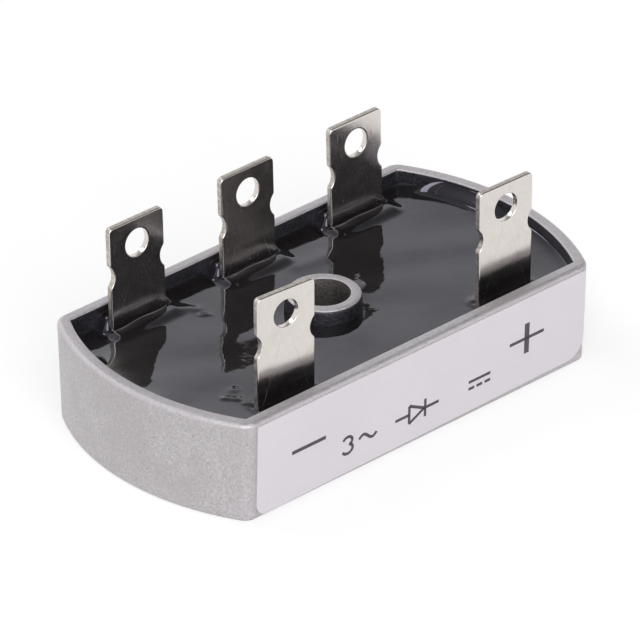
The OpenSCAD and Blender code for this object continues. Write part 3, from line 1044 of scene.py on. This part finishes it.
# %% Blend by a mask, and make bumps
MIX_COLOURS = (6, 7)
MIX_RESULT = 2


def blend_colours(tree, mask, first_colour, second_colour):
    """Two colours mixed by a mask: first * (1 - mask) + second * mask. Each is a triple or a mix node."""
    mix = add(tree, "ShaderNodeMix", data_type="RGBA")
    wire(tree, mask, mix)
    for index, colour in zip(MIX_COLOURS, (first_colour, second_colour)):
        if isinstance(colour, tuple):
            mix.inputs[index].default_value = (*colour, 1.0)
        else:
            wire(tree, colour, mix, MIX_RESULT, index)
    return mix


def blend_values(tree, mask, low, high):
    """Maps a mask from 0 and 1 to two values: low + mask * (high - low)."""
    node = add(tree, "ShaderNodeMapRange", To_Min=low, To_Max=high)
    wire(tree, mask, node, 0, "Value")
    return node


def add_up(tree, *terms):
    """Sum of (node, weight) pairs, as one value."""
    total = None
    for node, weight in terms:
        step = add(tree, "ShaderNodeMath", operation="MULTIPLY_ADD")
        step.inputs[1].default_value = weight
        step.inputs[2].default_value = 0.0
        wire(tree, node, step)
        if total:
            wire(tree, total, step, 0, 2)
        total = step
    return total


def bumps(tree, shader, height, depth):
    """A bump onto the shader's normal, from a mask that stands for heights up to a depth in millimetres."""
    node = add(tree, "ShaderNodeBump", Strength=1.0, Distance=depth * MM)
    wire(tree, height, node, 0, "Height")
    wire(tree, node, shader, 0, "Normal")


print("colour inputs and result of a mix:", MIX_COLOURS, MIX_RESULT)

# %% [markdown]
# ## Die casting
#
# The outside of the case is blasted, which leaves a bright, matt, even grain with tiny sparkles and pits,
# and the rim is painted a little lighter, as painted light. Inside, the skin of the die is left as cast
# and is coloured near black, and the bore is brown-grey. One grey with noise on it would look like
# plastic, so the metal has several layers: grain, larger patches, sparkles and pits. The same function
# makes all three skins with their own colours.

# %% Cast aluminium
RIM_START = 0.75
RIM_FULL = 0.25
# Colour of the painted light on the rim.
RIM_PAINTED_LIGHT_COLOUR = (0.80, 0.77, 0.82)
SPARKLE_GAIN = 1.4
PIT_GAIN = 0.5


def rim_painted_light_mask(tree, mm):
    """Where the painted light on the rim goes: 0 up to RIM_START below the rim, 1 from RIM_FULL below it,
    and a smooth step between them.
    """
    heights = add(tree, "ShaderNodeSeparateXYZ")
    wire(tree, mm, heights)
    rim = add(tree, "ShaderNodeMapRange", interpolation_type="SMOOTHSTEP", From_Min=CASE_H - RIM_START,
              From_Max=CASE_H - RIM_FULL)
    wire(tree, heights, rim, "Z", "Value")
    return rim


def cast_material(name, dark, light, patch, rough, rim_painted_light_share=0.0):
    """Cast aluminium: grain between two greys, larger patches, sparkles, dark pits and a rim painted
    lighter, as painted light.
    """
    material, tree, shader, mm = start_material(name, Metallic=1.0)
    grain = use(tree, mottle, mm, Scale=3.0, Detail=5.0, Low=0.3, High=0.7)
    patches = use(tree, mottle, mm, Scale=0.16, Detail=3.0, Low=0.35, High=0.65)
    sparkle = use(tree, specks, mm, Scale=1.9, Size=0.3, Share=0.3)
    pits = use(tree, specks, mm, Scale=1.3, Size=0.26, Share=0.25)
    bright = tuple(min(1.0, SPARKLE_GAIN * v) for v in light)
    deep = tuple(PIT_GAIN * v for v in dark)
    grained = blend_colours(tree, grain, dark, light)
    patched = blend_colours(tree, blend_values(tree, patches, 0.0, 0.4), grained, patch)
    sparkled = blend_colours(tree, blend_values(tree, sparkle, 0.0, 0.5), patched, bright)
    pitted = blend_colours(tree, blend_values(tree, pits, 0.0, 0.6), sparkled, deep)
    # The rim is painted lighter near its top: painted light.
    lighter = blend_values(tree, rim_painted_light_mask(tree, mm), 0.0, rim_painted_light_share)
    wire(tree, blend_colours(tree, lighter, pitted, RIM_PAINTED_LIGHT_COLOUR), shader, MIX_RESULT, BASE_COLOUR)
    wire(tree, blend_values(tree, grain, rough, rough + 0.08), shader, 0, ROUGHNESS)
    bumps(tree, shader, add_up(tree, (grain, 1.0), (sparkle, 0.5), (pits, -0.9)), 0.035)
    return material


blasted = cast_material("blasted_casting", dark=(0.445, 0.425, 0.438), light=(0.595, 0.572, 0.59),
                        patch=(0.45, 0.425, 0.43), rough=0.52, rim_painted_light_share=0.28)
# The walls inside and the boss are coloured near black.
near_black_skin = cast_material("near_black_cast_skin", dark=(0.045, 0.045, 0.055), light=(0.11, 0.11, 0.13),
                         patch=(0.07, 0.07, 0.08), rough=0.42)
bore_skin = cast_material("bore_skin", dark=(0.17, 0.155, 0.15), light=(0.25, 0.23, 0.225),
                          patch=(0.2, 0.185, 0.18), rough=0.5)
print("skins:", blasted.name, near_black_skin.name, bore_skin.name)

# %% The case takes its three skins
dress(casting, blasted, near_black_skin, bore_skin)
skin = np.zeros((len(rings), columns), np.int32)
skin[list(INSIDE_ROWS)] = 1
skin[list(BORE_ROWS)] = 2
casting.data.polygons.foreach_set("material_index", skin.ravel())
print("faces of each skin:", np.bincount(skin.ravel()))

# %% [markdown]
# ## Poured resin
#
# Black casting resin sets to a wet gloss, with a faint cloudiness, a slow ripple and some dust. A plain
# black mirror looks wrong: real resin is a very dark brown that reflects a slightly violet light. So the
# base colour is mottled and nearly black, and the gloss gets a faint tint.

# %% Resin
resin_finish, tree, shader, mm = start_material("poured_resin", Roughness=0.05, IOR=1.68,
                                                Specular_Tint=(0.82, 0.80, 1.0, 1.0))
clouds = use(tree, mottle, mm, Scale=0.12, Detail=2.0, Low=0.35, High=0.65)
ripple = use(tree, mottle, mm, Scale=0.35, Detail=2.5, Low=0.2, High=0.8)
dust = use(tree, specks, mm, Scale=0.9, Size=0.12, Share=0.25)
tinted = blend_colours(tree, clouds, (0.0062, 0.0050, 0.0042), (0.0100, 0.0088, 0.0088))
dusty = blend_colours(tree, blend_values(tree, dust, 0.0, 0.5), tinted, (0.09, 0.085, 0.08))
wire(tree, dusty, shader, MIX_RESULT, BASE_COLOUR)
wire(tree, blend_values(tree, clouds, 0.03, 0.06), shader, 0, ROUGHNESS)
bumps(tree, shader, add_up(tree, (ripple, 1.0), (dust, 0.12)), 0.012)
dress(resin, resin_finish)
print(resin.name, "wears", resin_finish.name)

# %% [markdown]
# ## Nickel plate
#
# The blades are cut from rolled sheet that was plated bright. The rolling leaves fine lines along them,
# the plating some warm stains, and handling small bright dots. An anisotropic shader could draw the
# lines, but a grain that is drawn out along the blade gives them in colour, roughness and bump at once.

# %% Plated faces
nickel, tree, shader, mm = start_material("nickel_plate", Metallic=1.0)
brushed = use(tree, mottle, mm, stretch_by=(1.0, 1.0, 0.25), Scale=5.0, Detail=3.0, Low=0.3, High=0.7)
stains = use(tree, mottle, mm, Scale=0.3, Detail=4.0, Low=0.45, High=0.75)
dots = use(tree, specks, mm, Scale=1.6, Size=0.12, Share=0.22)
waves = use(tree, mottle, mm, Scale=0.22, Detail=1.5, Low=0.2, High=0.8)
plated = blend_colours(tree, brushed, (0.67, 0.63, 0.60), (0.72, 0.68, 0.65))
stained = blend_colours(tree, blend_values(tree, stains, 0.0, 0.3), plated, (0.55, 0.49, 0.43))
dotted = blend_colours(tree, blend_values(tree, dots, 0.0, 0.7), stained, (0.90, 0.89, 0.87))
wire(tree, dotted, shader, MIX_RESULT, BASE_COLOUR)
roughened = add_up(tree, (blend_values(tree, brushed, 0.14, 0.2), 1.0), (stains, 0.06), (dots, 0.2))
wire(tree, roughened, shader, 0, ROUGHNESS)
bumps(tree, shader, add_up(tree, (brushed, 0.25), (waves, 1.0), (dots, 0.5)), 0.012)
print("made", nickel.name)

# %% [markdown]
# ## Sheared edge
#
# Where the press has cut the sheet, the edge is torn across its thickness and duller than the faces. It
# is a second material on the rows of faces that run round the blade, which is exact and needs no painted
# mask.

# %% Cut edge of the sheet
sheared, tree, shader, mm = start_material("sheared_edge", Metallic=1.0)
torn = use(tree, mottle, mm, stretch_by=(1.0, 0.3, 1.0), Scale=3.5, Detail=4.0, Low=0.35, High=0.65)
worn = use(tree, specks, mm, Scale=1.1, Size=0.45, Share=0.3)
sheet = blend_colours(tree, torn, (0.36, 0.325, 0.29), (0.60, 0.56, 0.52))
polished = blend_colours(tree, blend_values(tree, worn, 0.0, 0.7), sheet, (0.75, 0.72, 0.68))
wire(tree, polished, shader, MIX_RESULT, BASE_COLOUR)
wire(tree, blend_values(tree, torn, 0.28, 0.45), shader, 0, ROUGHNESS)
bumps(tree, shader, add_up(tree, (torn, 1.0), (worn, 0.5)), 0.03)
print("made", sheared.name)

# %% The blades take their two finishes
cut_faces = np.zeros((BLADE_ROWS, LOOP_POINTS), np.int32)
cut_faces[list(SHEARED_ROWS)] = 1
for piece in terminals.values():
    dress(piece, nickel, sheared)
    finish_index = np.zeros(len(piece.data.polygons), np.int32)
    # The upper half was added last, so its faces are the last ones.
    finish_index[-cut_faces.size:] = cut_faces.ravel()
    piece.data.polygons.foreach_set("material_index", finish_index)
print("sheared faces of a blade:", int(cut_faces.sum()))

# %% [markdown]
# ## Printed film and ink
#
# The label is a satin film, not quite flat and not quite one colour, and its ink is a soft near-black
# with a duller sheen than the film. A picture could hold both, but here the ink is its own piece, so each
# gets a plain material of its own, with fine fibres, a slow shade and a slightly uneven cover.

# %% Film
film, tree, shader, mm = start_material("printed_film", Roughness=0.38, IOR=1.45)
fibres = use(tree, mottle, mm, Scale=1.4, Detail=4.0, Low=0.3, High=0.7)
shade = use(tree, mottle, mm, Scale=0.09, Detail=2.0, Low=0.3, High=0.7)
papery = blend_colours(tree, fibres, (0.682, 0.650, 0.692), (0.698, 0.666, 0.708))
shaded = blend_colours(tree, blend_values(tree, shade, 0.0, 0.3), papery, (0.63, 0.60, 0.65))
wire(tree, shaded, shader, MIX_RESULT, BASE_COLOUR)
wire(tree, blend_values(tree, fibres, 0.34, 0.44), shader, 0, ROUGHNESS)
bumps(tree, shader, add_up(tree, (fibres, 0.3), (shade, 1.0)), 0.012)
dress(nodes["label"], film)
print("label wears", film.name)

# %% Ink
ink, tree, shader, mm = start_material("printing_ink", Roughness=0.5, IOR=1.45)
cover = use(tree, mottle, mm, Scale=3.0, Detail=3.0, Low=0.3, High=0.7)
inked = blend_colours(tree, cover, (0.05, 0.035, 0.05), (0.085, 0.065, 0.085))
wire(tree, inked, shader, MIX_RESULT, BASE_COLOUR)
wire(tree, blend_values(tree, cover, 0.42, 0.55), shader, 0, ROUGHNESS)
dress(signs, ink)
print(signs.name, "wear", ink.name)

# %% [markdown]
# ## Copper, ceramic and silicon
#
# These pieces lie inside the resin and are not seen unless someone takes the module apart. They could
# share one grey, but each is given the plain look of its real material: reddish rolled copper, white
# alumina, and dark polished silicon. One function with two colours does for all three.

# %% Pieces inside the resin
ROUGHER = 0.12


def plain_finish(name, dark, light, metallic, rough, scale):
    """A finish that mottles between two colours, for a piece that the resin hides."""
    material, tree, shader, mm = start_material(name, Metallic=metallic)
    mask = use(tree, mottle, mm, Scale=scale, Detail=4.0, Low=0.3, High=0.7)
    wire(tree, blend_colours(tree, mask, dark, light), shader, MIX_RESULT, BASE_COLOUR)
    wire(tree, blend_values(tree, mask, rough, rough + ROUGHER), shader, 0, ROUGHNESS)
    bumps(tree, shader, mask, 0.02)
    return material


hidden = {
    "bus_plate": plain_finish("bare_copper_sheet", dark=(0.62, 0.30, 0.17), light=(0.80, 0.46, 0.30),
                              metallic=1.0, rough=0.25, scale=1.1),
    "ceramic": plain_finish("alumina_plate", dark=(0.80, 0.79, 0.75), light=(0.87, 0.87, 0.85),
                            metallic=0.0, rough=0.5, scale=2.0),
    "chip": plain_finish("silicon_chip", dark=(0.09, 0.09, 0.11), light=(0.15, 0.15, 0.17),
                         metallic=0.0, rough=0.15, scale=0.8),
}
for name, obj in nodes.items():
    for prefix, material in hidden.items():
        if name.startswith(prefix):
            dress(obj, material)
print("materials:", [m.name for m in bpy.data.materials if m.users])

# %% [markdown]
# ## Floor
#
# The object stands on a pale floor. A white floor that is only lit would turn grey or burn out, so this
# one is part light and part paint: it looks white to the camera and to mirrors, and still takes a soft
# shadow. It is stage, not a part of the object.

# %% Floor
FLOOR_HALF = 2500
FLOOR_DROP = -0.02
FLOOR_PAINT = 0.42
FLOOR_GLOW = 0.58
WHITE = (1.0, 1.0, 1.0, 1.0)
floor_corners = raised(FLOOR_HALF * np.array([[-1, -1], [1, -1], [1, 1], [-1, 1]]), FLOOR_DROP)
floor = make_mesh("floor", floor_corners, np.array([[0, 1, 2, 3]]), smooth=False)
floor_finish = bpy.data.materials.new("pale_floor")
floor_finish.use_nodes = True
tree = floor_finish.node_tree
tree.nodes.clear()
out = add(tree, "ShaderNodeOutputMaterial")
paint = add(tree, "ShaderNodeBsdfDiffuse", Color=(FLOOR_PAINT, FLOOR_PAINT, FLOOR_PAINT, 1.0))
glow = add(tree, "ShaderNodeEmission", Color=WHITE)
path = add(tree, "ShaderNodeLightPath")
seen = combine(tree, "MAXIMUM", (path, "Is Camera Ray"), (path, "Is Glossy Ray"))
seen_too = combine(tree, "MAXIMUM", (seen, 0), (path, "Is Transmission Ray"))
wire(tree, combine(tree, "MULTIPLY", (seen_too, 0), FLOOR_GLOW), glow, 0, "Strength")
total = add(tree, "ShaderNodeAddShader")
wire(tree, paint, total)
wire(tree, glow, total, 0, 1)
wire(tree, total, out)
dress(floor, floor_finish)
print("floor:", 2 * FLOOR_HALF * MM, "m wide")

# %% [markdown]
# ## World
#
# The object stands in a white room. An even white world would wash out the resin and the plate, which
# need something dark to mirror. So the room is darker to the front right, above the level of the floor,
# and its ceiling is dim. The camera still sees plain white past the object, and matt surfaces get one
# even light.

# %% World: how bright each direction is to a mirror
DARK_SIDE = (0.52, -0.70, 0.49)
DARK_LEVEL = 0.18
CEILING_LEVEL = 0.40
world = bpy.data.worlds.new("white_room")
bpy.context.scene.world = world
world.use_nodes = True
tree = world.node_tree
tree.nodes.clear()
direction = add(tree, "ShaderNodeTexCoord")
toward = add(tree, "ShaderNodeVectorMath", operation="DOT_PRODUCT")
toward.inputs[1].default_value = DARK_SIDE
wire(tree, direction, toward, "Generated")
front = add(tree, "ShaderNodeMapRange", interpolation_type="SMOOTHSTEP", From_Min=0.30, From_Max=0.80)
wire(tree, toward, front, "Value", "Value")
height = add(tree, "ShaderNodeSeparateXYZ")
wire(tree, direction, height, "Generated")
above_floor = add(tree, "ShaderNodeMapRange", interpolation_type="SMOOTHSTEP", From_Min=0.15, From_Max=0.42)
wire(tree, height, above_floor, "Z", "Value")
dark = combine(tree, "MULTIPLY", (front, 0), (above_floor, 0))
room = blend_values(tree, dark, 1.0, DARK_LEVEL)
ceiling = add(tree, "ShaderNodeMapRange", interpolation_type="SMOOTHSTEP", From_Min=0.46, From_Max=0.78,
              To_Min=1.0, To_Max=CEILING_LEVEL)
wire(tree, height, ceiling, "Z", "Value")
walls = combine(tree, "MULTIPLY", (room, 0), (ceiling, 0))
print("dark side towards", DARK_SIDE)

# %% World: white to the camera, even to matt surfaces, the room to mirrors
WORLD_LIGHT = 0.6
path = add(tree, "ShaderNodeLightPath")
plain_white = combine(tree, "MAXIMUM", (path, "Is Camera Ray"), (path, "Is Transmission Ray"))
mirrored = combine(tree, "MULTIPLY", (path, "Is Glossy Ray"), (walls, 0))
matt = combine(tree, "SUBTRACT", 1.0, (path, "Is Glossy Ray"))
evenly_lit = combine(tree, "MULTIPLY", (matt, 0), WORLD_LIGHT)
lit = combine(tree, "ADD", (evenly_lit, 0), (mirrored, 0))
strength = combine(tree, "MAXIMUM", (plain_white, 0), (lit, 0))
sky = add(tree, "ShaderNodeBackground", Color=WHITE)
out = add(tree, "ShaderNodeOutputWorld")
wire(tree, strength, sky, 0, "Strength")
wire(tree, sky, out)
print("world:", len(tree.nodes), "nodes")

# %% [markdown]
# ## Lamps
#
# Soft shadows and long, gentle highlights come from large lamps, as from a window. A sun or a spot would
# draw hard edges on so small a part. Three square lamps light the front from the left, the front from low
# down, and the back. Their powers bring the light to the level at which colours come out as they are
# written.

# %% Lamps
AIM = (0, 0, 0.01)
# As (place, width of the square, power in watts)
LAMPS = {
    "key": ((-0.60, -0.90, 0.80), 0.9, 10.5),
    "low_front": ((-0.10, -1.30, 0.30), 0.9, 3.5),
    "back": ((-0.28, 0.85, 1.00), 0.5, 3.0),
}


def soft_lamp(name, place, size, power):
    """A square area lamp that looks at AIM: its -Z axis points from its place to there."""
    data = bpy.data.lights.new(name, "AREA")
    data.size = size
    data.energy = power
    obj = bpy.data.objects.new(name, data)
    obj.location = place
    aim = Vector(AIM) - Vector(place)
    obj.rotation_euler = aim.to_track_quat("-Z", "Y").to_euler()
    bpy.context.scene.collection.objects.link(obj)


for name, (place, size, power) in LAMPS.items():
    soft_lamp(name, place, size, power)

# %% [markdown]
# ## View
#
# The Standard view shows a colour as it is written, where a filmic one would fade it.

# %% View
bpy.context.scene.view_settings.view_transform = "Standard"
